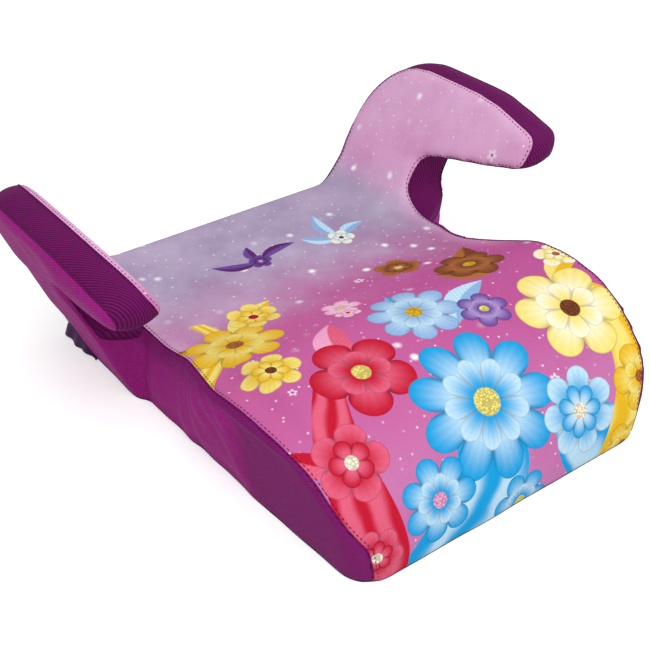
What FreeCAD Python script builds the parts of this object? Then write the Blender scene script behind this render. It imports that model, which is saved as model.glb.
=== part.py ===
import FreeCAD, Part

import math
import os

Vector = FreeCAD.Vector

# Child booster seat: a moulded shell with two hooked arms, foam pads and a sewn cover.
# Millimetres. +Z is up, the front edge faces -Y, and +X is to the right of someone facing the front.
# The origin is under the middle of the seat, on the surface that it stands on.

# Seat, measured over the cover
seat_front = 183.2            # from the origin to the front of the cover
seat_rear = 183.2             # from the origin to the rear of the cover
seat_height = 64.5            # where the child sits
thigh_rise = 27.5             # the raised front stands this far above the seat
thigh_height = seat_height + thigh_rise
fall_length = 98.5            # the front falls from the thigh rise to the floor over this length
fall_round_low = 84.0
fall_round_top = 101.0
fall_lead = 1.5               # the fall's foot would reach this far ahead of the front
rise_start = -54.0            # Y where the top of the thigh rise starts to fall back
rise_end = 30.0               # Y where it has come down to the seat
rise_round = 90.0
floor_width_front = 260.0     # width on the floor at the front, before its corners are rounded
floor_width_thigh = 271.0     # width on the floor under the thigh rise
floor_width_rear = 284.0      # width on the floor at the rear
thigh_middle = -85.0          # Y of that widest place
thigh_round = 150.0
wall_lean = 0.16              # the sides lean out from the floor by this much for each unit of height
front_corner = 23.0           # radius of the front corners in plan
rear_corner = 18.0            # radius of the rear corners in plan
waist_width = 276.0           # width of the seat beside the lap belt gaps
waist_start = 11.0            # Y where the waist reaches that width
waist_fade_width = 304.0      # the sides start to draw in to the waist from this width
waist_fade = -47.0            # Y where they start
waist_round = 60.0

# Arms, measured over the cover
arm_rise = 99.5               # top of the arms above the seat
arm_height = seat_height + arm_rise
arm_top_inner = 180.0         # from the middle plane to the inner edge of an arm's top
arm_top_width = 29.0          # across the top of an arm
arm_top_outer = arm_top_inner + arm_top_width
root_level = seat_height + 12.5
arm_root_inner = 128.0        # from the middle plane to an arm's inner face at root_level
arm_root_outer = 144.5        # from the middle plane to an arm's outer face at the floor
root_round = 40.0             # radius between the seat and an arm's inner face
root_start = 60.0             # an arm's root begins this far from the middle plane
arm_nose = -7.8               # Y of the arm's blunt nose
nose_drop = 12.0              # the nose is this much lower than the arm's top
nose_depth = 21.0             # height of the blunt nose
nose_top = arm_height - nose_drop
nose_bottom = nose_top - nose_depth
nose_round = 6.0
arm_top_slope = 0.33          # the arm's top falls by this much for each unit towards its outer face
arm_bend = 51.0               # Y where the arm's level top turns down to the nose
arm_bend_round = 120.0
arm_rear_round = 60.0         # radius of the arm's top rear corner
gap_rear = 94.0               # Y of the closed end of the lap belt gap
gap_height = 0.447 * arm_rise # of the gap's closed end above the seat
gap_top = seat_height + gap_height
gap_top_round = 0.3 * gap_height
gap_low_round = 0.58 * gap_height
gap_front = 57.0              # Y where an arm's root begins beside the gap
shoulder_round = 8.0
shoulder_run = 14.0           # the root has swelled to the arm this far behind the gap

# Soft layers
cover_thick = 2.5             # fabric with its thin backing foam
hem_thick = 1.6               # lining that turns the cover under the shell
seat_foam_thick = 12.0
arm_foam_thick = 7.0
layer_gap = 0.3               # room between two layers
gusset_drop = 8.0             # the gusset ends this far below the seat in the lap belt gap
gusset_lap = 20.0             # and it starts this far inside the waist

# Shell
shell_wall = 3.0
rib_wall = 2.4
rib_pitch = 65.0              # of the ribs across the seat
rib_pairs = 2                 # before and behind the middle rib
rib_depth = 12.0              # the ribs hang this far under the seat
rail_inset = 46.0             # the rails that the cover hooks hold are this far inside the front's sides
rail_offset = floor_width_front / 2 - rail_inset
rail_bottom = 6.5
boss_radius = 4.5
screw_radius = 1.7
screw_head_radius = 3.6
screw_head_thick = 1.5
screw_head_depth = 1.8        # the head's seat lies this deep in the cap
screw_length = 13.0           # from the cap's outer face to the screw's tip
screw_room = 0.3
screw_tip_room = 1.0
screw_front = 33.0            # Y of the front screw in each arm
screw_rear = 113.0            # Y of the rear screw
screw_foot = 141.0            # Y of the low screw
screw_drop = 25.0             # the two upper screws are this far below the arm's top
screw_foot_drop = 70.0
screw_places = [
    (screw_front, arm_height - screw_drop),
    (screw_rear, arm_height - screw_drop),
    (screw_foot, arm_height - screw_foot_drop),
]
cap_drop = 82.0               # the caps' lower edges are this far below the arm's top
cap_bottom = arm_height - cap_drop
cap_gap = 0.3                 # room round an arm cap

# Hem and its fasteners
hem_width = 28.0              # the lining reaches this far in under the shell
elastic_width = 6.0
elastic_thick = 1.4
hook_count = 3                # along each side
hook_pitch = 100.0
hook_width = 14.0
hook_thick = 2.0
hook_rise = 9.0               # height of the hook's end behind the rail
hook_slot = 2.0               # the loop runs through this slot
hook_end_bar = 3.0            # and round this bar at the hook's end
loop_width = 10.0
loop_thick = 0.8
flap_length = 34.0            # loose end of the lining that shows at the left rear
flap_reach = 6.4
flap_tail = 14.0
flap_rear = 2.2               # it starts this far ahead of the rear
flap_round = 30.0
flap_room = 0.2

span = 600.0                  # longer than the seat in every direction
past = 10.0                   # a cutting shape runs past the face that it cuts
cover_inside = cover_thick + layer_gap


class Fit:
    """How far a layer lies inside the cover's outer surface."""

    def __init__(self, seat, edge, inner):
        self.seat = seat      # below the seat and behind the front
        self.edge = edge      # inside the sides, the rear and the arms' edges and outer faces
        self.inner = inner    # behind the arms' inner faces


outside = Fit(0.0, 0.0, 0.0)
cover_back = Fit(cover_thick, cover_thick, cover_thick)
foam_top = Fit(cover_inside, cover_inside, cover_inside)
foam_back = Fit(cover_inside + seat_foam_thick, cover_inside, cover_inside + arm_foam_thick)
shell_top = Fit(foam_back.seat + layer_gap, cover_inside, foam_back.inner + layer_gap)
shell_back = Fit(shell_top.seat + shell_wall, shell_top.edge + shell_wall, shell_top.inner + shell_wall)


def rounded_edges(corners, place, closed):
    """Straight runs joined by arcs through corners (a, b, radius); place puts (a, b) in space."""
    count = len(corners)
    points = [Vector(a, b, 0) for a, b, radius in corners]
    starts = list(points)
    ends = list(points)
    edges = []
    for i, (a, b, radius) in enumerate(corners):
        if radius == 0:
            continue
        to_before = (points[i - 1] - points[i]).normalize()
        to_after = (points[(i + 1) % count] - points[i]).normalize()
        half = to_before.getAngle(to_after) / 2
        starts[i] = points[i] + to_before * (radius / math.tan(half))
        ends[i] = points[i] + to_after * (radius / math.tan(half))
        halfway = (to_before + to_after).normalize()
        middle = points[i] + halfway * (radius / math.sin(half) - radius)
        edges.append(Part.Arc(place(starts[i]), place(middle), place(ends[i])).toShape())
    for i in range(count if closed else count - 1):
        start = place(ends[i])
        end = place(starts[(i + 1) % count])
        if start.distanceToPoint(end) > 1e-6:
            edges.append(Part.LineSegment(start, end).toShape())
    return edges


def rounded_face(corners, place):
    edges = rounded_edges(corners, place, True)
    return Part.Face(Part.Wire(Part.__sortEdges__(edges)))


def in_side_view(point):
    return Vector(0, point.x, point.y)


def in_front_view(point):
    return Vector(point.x, 0, point.y)


def in_plan(point):
    return Vector(point.x, point.y, 0)


def block(x0, x1, y0, y1, z0, z1):
    return Part.makeBox(x1 - x0, y1 - y0, z1 - z0, Vector(x0, y0, z0))


def mirrored(shape):
    return shape.mirror(Vector(0, 0, 0), Vector(1, 0, 0))


def both(shape):
    return shape.fuse(mirrored(shape))


def above(level):
    return block(-span, span, -span, span, level, span)


# The seat itself

def seat_profile(inset):
    """The side view of the seat, from the rounded fall to the floor back to the level seat."""
    top = thigh_height - inset
    low = seat_height - inset
    front = inset - seat_front - fall_lead
    length = fall_length - inset
    corners = [
        (front, 0.0, 0.0),
        (front, top * (math.sqrt(2.0) - 1.0), fall_round_low - inset),
        (front + length * (2.0 - math.sqrt(2.0)), top, fall_round_top - inset),
        (rise_start, top, rise_round),
        (rise_end, low, rise_round),
        (span, low, 0.0),
        (span, 0.0, 0.0),
    ]
    face = rounded_face(corners, in_side_view)
    face.translate(Vector(-span / 2, 0, 0))
    return face.extrude(Vector(span, 0, 0))


def side_walls(inset, front_inset):
    """The seat's front, sides and rear; the sides lean out from the floor, apart from the waist."""
    front = front_inset - seat_front
    rear = seat_rear - inset
    height = thigh_height + past
    right = [
        (-root_start, front, 0.0),
        (floor_width_front / 2 - inset, front, front_corner - inset / 2),
        (floor_width_thigh / 2 - inset, thigh_middle, thigh_round),
        (floor_width_rear / 2 - inset, rear, rear_corner),
        (-root_start, rear, 0.0),
    ]
    waist = [
        (waist_fade_width / 2 - inset, waist_fade, 0.0),
        (waist_width / 2 - inset, waist_start, waist_round),
        (waist_width / 2 - inset, span, 0.0),
        (span, span, 0.0),
        (span, waist_fade, 0.0),
    ]
    wall = rounded_face(right, in_plan).extrude(Vector(wall_lean * height, 0, height))
    beside_waist = rounded_face(waist, in_plan).extrude(Vector(0, 0, height))
    return both(wall.cut(beside_waist)).removeSplitter()


def seat_body(fit):
    return seat_profile(fit.seat).common(side_walls(fit.edge, fit.seat))


# The arms

def inner_face_x(level):
    slope = (arm_top_inner - arm_root_inner) / (arm_height - root_level)
    return arm_root_inner + slope * (level - root_level)


def outer_face_x(level):
    return arm_root_outer + (arm_top_outer - arm_root_outer) / arm_height * level


def sideways(thickness, face_x):
    """The X distance that gives a leaning face this thickness."""
    return thickness * math.hypot(1.0, face_x(1.0) - face_x(0.0))


def hook_prism(edge, seat):
    """The hooked side view of one arm and its root, carried across in X."""
    corners = [
        (seat_rear - edge, 0.0, 0.0),
        (seat_rear - edge, arm_height - edge, arm_rear_round - edge),
        (arm_bend, arm_height - edge, arm_bend_round),
        (arm_nose + edge, nose_top - edge, nose_round - edge / 2),
        (arm_nose + edge, nose_bottom + edge, nose_round - edge / 2),
        (gap_rear + edge, gap_top + edge, gap_top_round + edge),
        (gap_rear + edge, seat_height - seat, gap_low_round + edge),
        (gap_front, seat_height - seat, 0.0),
        (gap_front, 0.0, 0.0),
    ]
    return rounded_face(corners, in_side_view).extrude(Vector(span, 0, 0))


def under_arm_top(edge):
    """Everything under an arm's top and behind its nose; the top slopes down to the outer face."""
    lift = arm_top_slope * arm_top_inner
    corners = [
        (seat_rear - edge, -span, 0.0),
        (seat_rear - edge, arm_height - edge, arm_rear_round - edge),
        (arm_bend, arm_height - edge, arm_bend_round),
        (arm_nose + edge, nose_top - edge, nose_round - edge / 2),
        (arm_nose + edge, -span, 0.0),
    ]
    face = rounded_face(corners, in_side_view)
    face.translate(Vector(0, 0, lift))
    return face.extrude(Vector(span, 0, -arm_top_slope * span))


def arm_section(seat, inner, outer):
    """The front view of one arm: a leaning slab that rounds into the seat."""
    top = arm_height + past
    low = seat_height - seat
    inner_shift = sideways(inner, inner_face_x)
    outer_shift = sideways(outer, outer_face_x)
    corners = [
        (root_start, 0.0, 0.0),
        (root_start, low, 0.0),
        (inner_face_x(low) + inner_shift, low, root_round + seat),
        (inner_face_x(top) + inner_shift, top, 0.0),
        (outer_face_x(top) - outer_shift, top, 0.0),
        (outer_face_x(0.0) - outer_shift, 0.0, 0.0),
    ]
    face = rounded_face(corners, in_front_view)
    face.translate(Vector(0, -span / 2, 0))
    return face.extrude(Vector(0, span, 0))


def shoulder(edge):
    """Keeps an arm's root to the seat's waist in front and lets it swell to the arm behind."""
    rear = seat_rear - edge
    level = gap_top - gap_top_round
    corners = [
        (0.0, gap_front - 1.0, 0.0),
        (waist_width / 2 - edge, gap_front - 1.0, 0.0),
        (waist_width / 2 - edge, gap_front + shoulder_round, shoulder_round),
        (arm_top_outer, gap_rear + shoulder_run, 0.0),
        (arm_top_outer, rear, 0.0),
        (0.0, rear, 0.0),
    ]
    root = rounded_face(corners, in_plan).extrude(Vector(0, 0, level))
    return root.fuse(block(0, span, -span, span, level, span))


def arm_body(fit, outer_inset=None):
    """One arm with its root; its outer face may have an inset of its own."""
    if outer_inset is None:
        outer_inset = fit.edge
    section = arm_section(fit.seat, fit.inner, outer_inset)
    side_view = hook_prism(fit.edge, fit.seat).common(under_arm_top(fit.edge))
    return side_view.common(section).common(shoulder(outer_inset))


def whole_body(fit):
    arm = arm_body(fit)
    return seat_body(fit).fuse([arm, mirrored(arm)]).removeSplitter()


def inner_zone(depth):
    """Everything on the seat's side of the arms' inner faces, down to this depth in them."""
    top = arm_height + past
    shift = sideways(depth, inner_face_x)
    corners = [
        (0.0, 0.0, 0.0),
        (waist_width / 2 - depth, 0.0, 0.0),
        (waist_width / 2 - depth, seat_height, 0.0),
        (inner_face_x(root_level) + shift, root_level, 0.0),
        (inner_face_x(top) + shift, top, 0.0),
        (0.0, top, 0.0),
    ]
    face = rounded_face(corners, in_front_view)
    face.translate(Vector(0, -span / 2, 0))
    return both(face.extrude(Vector(0, span, 0)))


# The sewn cover

def make_cover():
    """The cover in panels: printed seat, and on each side an arm gusset and a side panel."""
    skin = whole_body(outside).cut(whole_body(cover_back)).common(above(hem_thick))
    back = block(-span, span, seat_rear - cover_thick, span, 0.0, arm_height - arm_rear_round)
    low = seat_height - 2 * cover_thick
    beside_arms = block(-span, span, arm_nose - cover_thick, seat_rear, low, span)
    printed_zone = inner_zone(cover_thick).common(beside_arms)
    between_sides = side_walls(cover_thick, 0.0)
    front = block(-span, span, -seat_front, cover_thick - seat_front, 0.0, thigh_height)
    printed = skin.cut(back).common(printed_zone.fuse([between_sides, front])).removeSplitter()
    rest = skin.cut(back).cut(printed)
    right = rest.common(block(0.0, span, -span, span, 0.0, span))
    gusset_zone = hook_band_zone()
    gusset = right.common(gusset_zone)
    side = right.cut(gusset_zone)
    return printed, side, gusset, skin.common(back)


def hook_band_zone():
    """Between an arm's faces, from its top rear corner round the nose and into the gap."""
    top = arm_height + past
    outer_shift = sideways(cover_thick, outer_face_x)
    corners = [
        (waist_width / 2 - gusset_lap, seat_height - gusset_drop, 0.0),
        (waist_width / 2 - gusset_lap, top, 0.0),
        (outer_face_x(top) - outer_shift, top, 0.0),
        (outer_face_x(seat_height - gusset_drop) - outer_shift, seat_height - gusset_drop, 0.0),
    ]
    face = rounded_face(corners, in_front_view)
    face.translate(Vector(0, gap_front + shoulder_round, 0))
    low = face.extrude(Vector(0, span, 0))
    face.translate(Vector(0, -span, 0))
    high = face.extrude(Vector(0, 2 * span, 0)).common(block(0.0, span, arm_nose - 1.0, span, gap_top, span))
    return low.fuse(high)


# The foam

def make_seat_foam():
    pad = whole_body(foam_top).cut(whole_body(foam_back))
    between_sides = side_walls(foam_top.edge, foam_top.seat)
    return pad.common(between_sides).common(above(hem_thick + layer_gap))


def make_arm_foam():
    """A pad glued to each arm's inner face, above the seat foam."""
    front = arm_body(foam_top)
    back = arm_body(Fit(foam_top.seat, foam_top.edge, foam_back.inner))
    top = thigh_height + layer_gap
    return front.cut(back).common(above(top))


# The shell

def make_arm_window(edge):
    """The open outer side of one hollow arm, inside its rim."""
    core = arm_body(Fit(shell_top.seat, edge, shell_back.inner), shell_top.edge)
    return core.common(above(cap_bottom - cap_gap))


def make_screw_bar(place, radius, start, end):
    """A round bar square to an arm's cap, between two depths under the cap's outer face."""
    y, z = place
    surface = Vector(outer_face_x(z) - sideways(shell_top.edge, outer_face_x), y, z)
    inward = Vector(-1.0, 0.0, outer_face_x(1.0) - outer_face_x(0.0)).normalize()
    return Part.makeCylinder(radius, end - start, surface + inward * start, inward)


def make_shell():
    solid = whole_body(shell_top)
    hollow = whole_body(shell_back)
    floor_cut = above(hem_thick + layer_gap)
    shell = solid.cut(hollow)
    grid = [block(-rib_wall / 2, rib_wall / 2, -span, span, 0.0, thigh_height)]
    for i in range(-rib_pairs, rib_pairs + 1):
        y = i * rib_pitch
        grid.append(block(-rail_offset, rail_offset, y - rib_wall / 2, y + rib_wall / 2, 0.0, thigh_height))
    lowered = hollow.copy()
    lowered.translate(Vector(0, 0, -rib_depth))
    ribs = grid[0].fuse(grid[1:]).common(hollow.cut(lowered))
    rails = both(block(rail_offset, rail_offset + rib_wall, -span, span, rail_bottom, thigh_height))
    rails = rails.common(seat_body(shell_back))
    window = make_arm_window(shell_back.edge)
    inside_wall = arm_body(Fit(shell_back.seat, shell_top.edge, shell_top.inner))
    bosses = []
    for place in screw_places:
        boss = make_screw_bar(place, boss_radius, shell_wall + cap_gap, span)
        bosses.append(boss.common(inside_wall))
    shell = shell.cut(both(window.cut(arm_core_limit())))
    shell = shell.fuse([ribs, rails] + [both(boss) for boss in bosses])
    for place in screw_places:
        hole = make_screw_bar(place, screw_radius, 0.0, screw_length + screw_tip_room)
        shell = shell.cut(both(hole))
    return shell.common(floor_cut).removeSplitter()


def arm_core_limit():
    """All that lies deeper in an arm than its outer wall."""
    return arm_section(0.0, 0.0, shell_back.edge)


def make_cap():
    """A plate in the window of a hollow arm, on the ends of the bosses."""
    window = make_arm_window(shell_back.edge + cap_gap)
    cap = window.cut(arm_core_limit()).common(above(cap_bottom))
    for place in screw_places:
        recess = make_screw_bar(place, screw_head_radius + screw_room, -span, screw_head_depth)
        hole = make_screw_bar(place, screw_radius + screw_room, 0.0, span)
        cap = cap.cut(recess).cut(hole)
    return cap.removeSplitter()


def make_screws():
    """One pan-head screw for each boss, through the cap."""
    screws = []
    for place in screw_places:
        shank = make_screw_bar(place, screw_radius, screw_head_depth, screw_length)
        head_start = screw_head_depth - screw_head_thick
        head = make_screw_bar(place, screw_head_radius, head_start, screw_head_depth)
        screws.append(shank.fuse(head).removeSplitter())
    return screws


# The hem under the shell

def hem_ring(outer, inner, low, high):
    """A flat band that follows the sides and the front on the floor."""
    return seat_floor(outer, low, high).cut(seat_floor(inner, low - 1.0, high + 1.0))


def seat_floor(inset, low, high):
    """The cover's outline on the floor, inset, as a plate between two heights."""
    outline = min(whole_body(outside).Faces, key=lambda face: face.CenterOfMass.z)
    outline = outline.OuterWire.makeOffset2D(-inset) if inset else outline.OuterWire
    plate = Part.Face(outline)
    plate.translate(Vector(0, 0, low))
    return plate.extrude(Vector(0, 0, high - low))


def make_hem():
    return hem_ring(0.0, cover_thick + hem_width, 0.0, hem_thick)


def make_elastic():
    """Flat elastic sewn along the hem's inner edge."""
    inner = cover_thick + hem_width
    low = hem_thick
    return hem_ring(inner - elastic_width, inner, low, low + elastic_thick)


def floor_half_width(y):
    """Half the width of the hem's outer edge at this Y."""
    slice_box = block(0.0, span, y - 0.5, y + 0.5, 0.0, 1.0)
    return seat_floor(0.0, 0.0, 1.0).common(slice_box).optimalBoundingBox().XMax


def make_hook(y, hem_edge):
    """A flat hook from the hem's inner edge in under a rail and up behind it."""
    low = hem_thick + elastic_thick + loop_thick + layer_gap
    inboard = rail_offset - layer_gap - hook_thick
    y0 = y - hook_width / 2
    y1 = y + hook_width / 2
    plate = block(inboard, hem_edge - layer_gap, y0, y1, low, low + hook_thick)
    rise = block(inboard, inboard + hook_thick, y0, y1, low, rail_bottom + hook_rise)
    slot_reach = loop_width / 2 + layer_gap
    slot_edge = hem_edge - hook_end_bar
    slot = block(slot_edge - hook_slot, slot_edge, y - slot_reach, y + slot_reach, 0.0, span)
    return plate.fuse(rise).cut(slot).removeSplitter()


def make_loop(y, hem_edge):
    """An elastic loop, sewn on the hem elastic, that runs through the hook's slot."""
    low = hem_thick + elastic_thick
    top = low + hook_thick + 2 * (loop_thick + layer_gap)
    y0 = y - loop_width / 2
    y1 = y + loop_width / 2
    inboard = hem_edge - hook_end_bar - layer_gap - loop_thick
    outboard = hem_edge + elastic_width - 1.0
    ring = block(inboard, outboard, y0, y1, low, top)
    space = block(inboard + loop_thick, outboard - loop_thick, y0, y1, low + loop_thick, top - loop_thick)
    return ring.cut(space)


def make_hook_set():
    hooks = []
    loops = []
    for i in range(hook_count):
        y = (i - (hook_count - 1) / 2) * hook_pitch
        hem_edge = floor_half_width(y) - cover_thick - hem_width
        hooks.append(make_hook(y, hem_edge))
        loops.append(make_loop(y, hem_edge))
    return hooks, loops


def make_flap():
    """A loose end of the hem lining that shows past the cover at the left rear."""
    edge = -arm_root_outer - flap_room
    rear = seat_rear - flap_rear
    front = rear - flap_length
    corners = [
        (edge, rear, 0.0),
        (edge - flap_reach, rear - flap_length / 2, flap_round),
        (edge - flap_reach, front - flap_tail / 2, 0.0),
        (edge - flap_reach * 0.8, front - flap_tail, 0.0),
        (edge, front + flap_tail / 2, 0.0),
    ]
    return rounded_face(corners, in_plan).extrude(Vector(0, 0, hem_thick))


def write(node, solids):
    Part.makeCompound(solids).exportStep("parts/" + node + ".step")


def main():
    os.makedirs("parts", exist_ok=True)
    printed, side, gusset, back = make_cover()
    cap = make_cap()
    arm_foam = make_arm_foam()
    hooks, loops = make_hook_set()
    screws = make_screws()
    write("cover_seat_panel", printed.Solids)
    write("cover_rear_panel", back.Solids)
    write("seat_foam", make_seat_foam().Solids)
    write("seat_shell", make_shell().Solids)
    write("hem_lining", make_hem().Solids)
    write("hem_elastic", make_elastic().Solids)
    write("hem_loose_end", [make_flap()])
    write("cover_hooks", hooks + [mirrored(hook) for hook in hooks])
    write("hook_loops", loops + [mirrored(loop) for loop in loops])
    write("arm_cap_screws", screws + [mirrored(screw) for screw in screws])
    for node, shape in (("cover_side", side), ("arm_gusset", gusset), ("arm_cap", cap), ("arm_foam", arm_foam)):
        write(node + "_right", shape.Solids)
        write(node + "_left", mirrored(shape).Solids)


main()
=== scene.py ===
import bmesh
import bpy
import math
import numpy as np
from contextlib import contextmanager
from functools import partial
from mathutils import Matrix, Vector, noise
from mathutils.bvhtree import BVHTree


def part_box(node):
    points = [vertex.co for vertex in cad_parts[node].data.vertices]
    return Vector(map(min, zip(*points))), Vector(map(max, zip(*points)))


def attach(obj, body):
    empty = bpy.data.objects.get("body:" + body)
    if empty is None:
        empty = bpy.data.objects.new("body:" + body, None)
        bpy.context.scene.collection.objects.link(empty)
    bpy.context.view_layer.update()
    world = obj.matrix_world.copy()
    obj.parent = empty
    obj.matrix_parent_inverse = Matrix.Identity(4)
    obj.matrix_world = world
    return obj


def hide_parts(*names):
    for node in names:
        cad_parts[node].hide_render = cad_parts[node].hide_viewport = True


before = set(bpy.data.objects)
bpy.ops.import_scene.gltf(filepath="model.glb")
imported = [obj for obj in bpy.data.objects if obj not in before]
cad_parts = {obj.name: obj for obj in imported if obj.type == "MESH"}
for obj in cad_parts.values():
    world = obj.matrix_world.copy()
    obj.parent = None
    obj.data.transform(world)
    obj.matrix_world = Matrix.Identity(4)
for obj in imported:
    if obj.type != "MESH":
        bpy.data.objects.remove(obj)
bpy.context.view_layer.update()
mm = 0.001


# small helpers for numbers and meshes

def mixed(a, b, share):
    return a + (b - a) * share


def eased(value, low, high):
    t = np.clip((np.asarray(value) - low) / (high - low), 0.0, 1.0)
    return t * t * (3.0 - 2.0 * t)


def newObject(name, mesh):
    obj = bpy.data.objects.new(name, mesh)
    bpy.context.scene.collection.objects.link(obj)
    return obj


@contextmanager
def edited(mesh):
    bm = bmesh.new()
    bm.from_mesh(mesh)
    yield bm
    bm.to_mesh(mesh)
    bm.free()


def joined(nodes):
    bm = bmesh.new()
    for node in nodes:
        bm.from_mesh(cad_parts[node].data)
    return bm


def joinedCopy(name, nodes):
    mesh = bpy.data.meshes.new(name)
    bm = joined(nodes)
    bm.to_mesh(mesh)
    bm.free()
    return newObject(name, mesh)


def applyModifiers(obj):
    depsgraph = bpy.context.evaluated_depsgraph_get()
    mesh = bpy.data.meshes.new_from_object(obj.evaluated_get(depsgraph))
    obj.modifiers.clear()
    old = obj.data
    obj.data = mesh
    bpy.data.meshes.remove(old)


def remeshed(obj, voxel, smoothing):
    even = obj.modifiers.new("even", "REMESH")
    even.mode = "VOXEL"
    even.voxel_size = voxel
    soft = obj.modifiers.new("soft", "SMOOTH")
    soft.factor = 0.5
    soft.iterations = smoothing
    applyModifiers(obj)


def readAll(items, key, width=1, kind=float):
    values = np.empty(len(items) * width, dtype=kind)
    items.foreach_get(key, values)
    return values.reshape(-1, width)


def vertexPlaces(mesh):
    return readAll(mesh.vertices, "co", 3)


def vertexNormals(mesh):
    return readAll(mesh.vertex_normals, "vector", 3)


def moveVertices(mesh, places):
    mesh.vertices.foreach_set("co", places.ravel())
    mesh.update()


def edgePairs(mesh):
    return readAll(mesh.edges, "vertices", 2, np.int64)


def spreadOut(values, pairs, rounds):
    # each round moves every value halfway to the mean of its neighbours
    values = np.array(values, dtype=float)
    count = np.maximum(np.bincount(pairs.ravel(), minlength=len(values)), 1).astype(float)
    flat = values.reshape(len(values), -1)
    for _ in range(rounds):
        total = np.zeros_like(flat)
        for column in range(flat.shape[1]):
            total[:, column] = (np.bincount(pairs[:, 0], flat[pairs[:, 1], column], len(values))
                                + np.bincount(pairs[:, 1], flat[pairs[:, 0], column], len(values)))
        flat = 0.5 * flat + 0.5 * total / count[:, None]
    return flat.reshape(values.shape)


# the sewn cover as one skin over everything inside it

coverNodes = {
    "seatPanel": ["cover_seat_panel"],
    "gusset": ["arm_gusset_left", "arm_gusset_right"],
    "side": ["cover_side_left", "cover_side_right"],
    "rear": ["cover_rear_panel"],
}
coverLook = {
    "voxel": 2.3 * mm,
    "smoothing": 8,  # rounds the corners
    "blockInset": 22.0 * mm,  # a block closes the shell's open underside
    "blockRise": (0.2 * mm, 4.0 * mm),
    "reach": 3.0 * mm,  # how far outside the skin the seams are looked for
    "seamEvening": 9,
    "liftEvening": 2,
    "seamDepth": 1.2 * mm,
    "seamWidth": 2.6 * mm,
    "flatBeside": 14.0 * mm,  # the panels stay flat this near to a seam
    "sidePuff": 3.5 * mm,
    "sidePuffEnd": 60.0 * mm,  # Y behind which the sides stay flat
    "sidePuffFoot": (4.0 * mm, 26.0 * mm),
    "armPuff": 2.2 * mm,
    "armPuffBeside": 9.0 * mm,
    "armPuffFoot": 120.0 * mm,
    "restless": 0.8 * mm,  # soft unevenness, the size of its dents and its seed
    "restlessSize": 45.0 * mm,
    "restlessSeed": 3.0,
    "underside": 1.3 * mm,  # the skin below this is cut off
    "clothThick": 1.2 * mm,
}
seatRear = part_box("cover_seat_panel")[1].y
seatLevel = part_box("seat_foam")[1].z


def addBlock(mesh, low, high):
    with edited(mesh) as bm:
        for vert in bmesh.ops.create_cube(bm, size=1.0)["verts"]:
            vert.co = Vector([mixed(low[i], high[i], vert.co[i] + 0.5) for i in range(3)])


def keepOuterSkin(mesh):
    with edited(mesh) as bm:
        top = max(bm.verts, key=lambda vert: vert.co.z)
        seen = {top}
        todo = [top]
        while todo:
            vert = todo.pop()
            for edge in vert.link_edges:
                other = edge.other_vert(vert)
                if other not in seen:
                    seen.add(other)
                    todo.append(other)
        inner = [vert for vert in bm.verts if vert not in seen]
        bmesh.ops.delete(bm, geom=inner, context="VERTS")


def makeSkin():
    nodes = sum(coverNodes.values(), [])
    nodes += ["seat_foam", "arm_foam_left", "arm_foam_right", "seat_shell", "hem_lining"]
    skin = joinedCopy("coverSkin", nodes)
    hemLow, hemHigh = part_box("hem_lining")
    inside = coverLook["blockInset"]
    foot, top = coverLook["blockRise"]
    addBlock(skin.data, (hemLow.x + inside, hemLow.y + inside, hemLow.z + foot),
             (hemHigh.x - inside, hemHigh.y - inside, hemLow.z + top))
    remeshed(skin, coverLook["voxel"], coverLook["smoothing"])
    keepOuterSkin(skin.data)
    return skin


def nodeSurface(nodes):
    bm = joined(nodes)
    tree = BVHTree.FromBMesh(bm)
    bm.free()
    return tree


def signedGap(own, others):
    # on a flat stretch this is the distance along the surface to the seam, negative on the own side
    squares = own ** 2 - others ** 2
    return np.sign(squares) * np.sqrt(np.abs(squares))


def seamFields(mesh):
    probes = vertexPlaces(mesh) + vertexNormals(mesh) * coverLook["reach"]
    gaps = {}
    for part, nodes in coverNodes.items():
        surface = nodeSurface(nodes)
        gaps[part] = np.array([surface.find_nearest(Vector(p))[3] for p in probes])
    pairs = edgePairs(mesh)
    rest = np.minimum(np.minimum(gaps["gusset"], gaps["side"]), gaps["rear"])
    fields = {
        "fromPrint": signedGap(gaps["seatPanel"], rest),
        "fromGusset": signedGap(gaps["gusset"], np.minimum(gaps["side"], gaps["rear"])),
        "fromRear": signedGap(gaps["rear"], gaps["side"]),
    }
    return {name: spreadOut(field, pairs, coverLook["seamEvening"]) for name, field in fields.items()}


def seamDistance(fields):
    # distance to the nearest seam that really runs there
    onPrint = fields["fromPrint"] < 0.0
    onGusset = fields["fromGusset"] < 0.0
    distance = np.abs(fields["fromPrint"])
    beside = np.abs(fields["fromGusset"])
    distance = np.where(onPrint, distance, np.minimum(distance, beside))
    behind = np.abs(fields["fromRear"])
    return np.where(onPrint | onGusset, distance, np.minimum(distance, behind))


def unevenness(places, size, seed):
    return np.array([noise.noise(Vector(p) / size + Vector((seed, 0.0, 0.0))) for p in places])


pleatLook = {
    # centres are Y and Z; the rest are count, depth, and where pleats are deepest and where they end
    "belowNose": (-2.0 * mm, 120.0 * mm),
    "below": (34.0, 0.7 * mm, 60.0 * mm, 125.0 * mm),
    "folds": (8.0, 1.3 * mm, 70.0 * mm, 190.0 * mm),  # broad and soft, from the same centre
    "gapEnd": (74.0 * mm, 92.0 * mm),  # inside the lap belt gap
    "gap": (26.0, 0.7 * mm, 26.0 * mm, 52.0 * mm),
    "sway": 2.0,  # how far they wander, and over what length
    "swayLength": 11.0 * mm,
    "rise": 0.4,  # share of the way out to where they start
}


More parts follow.
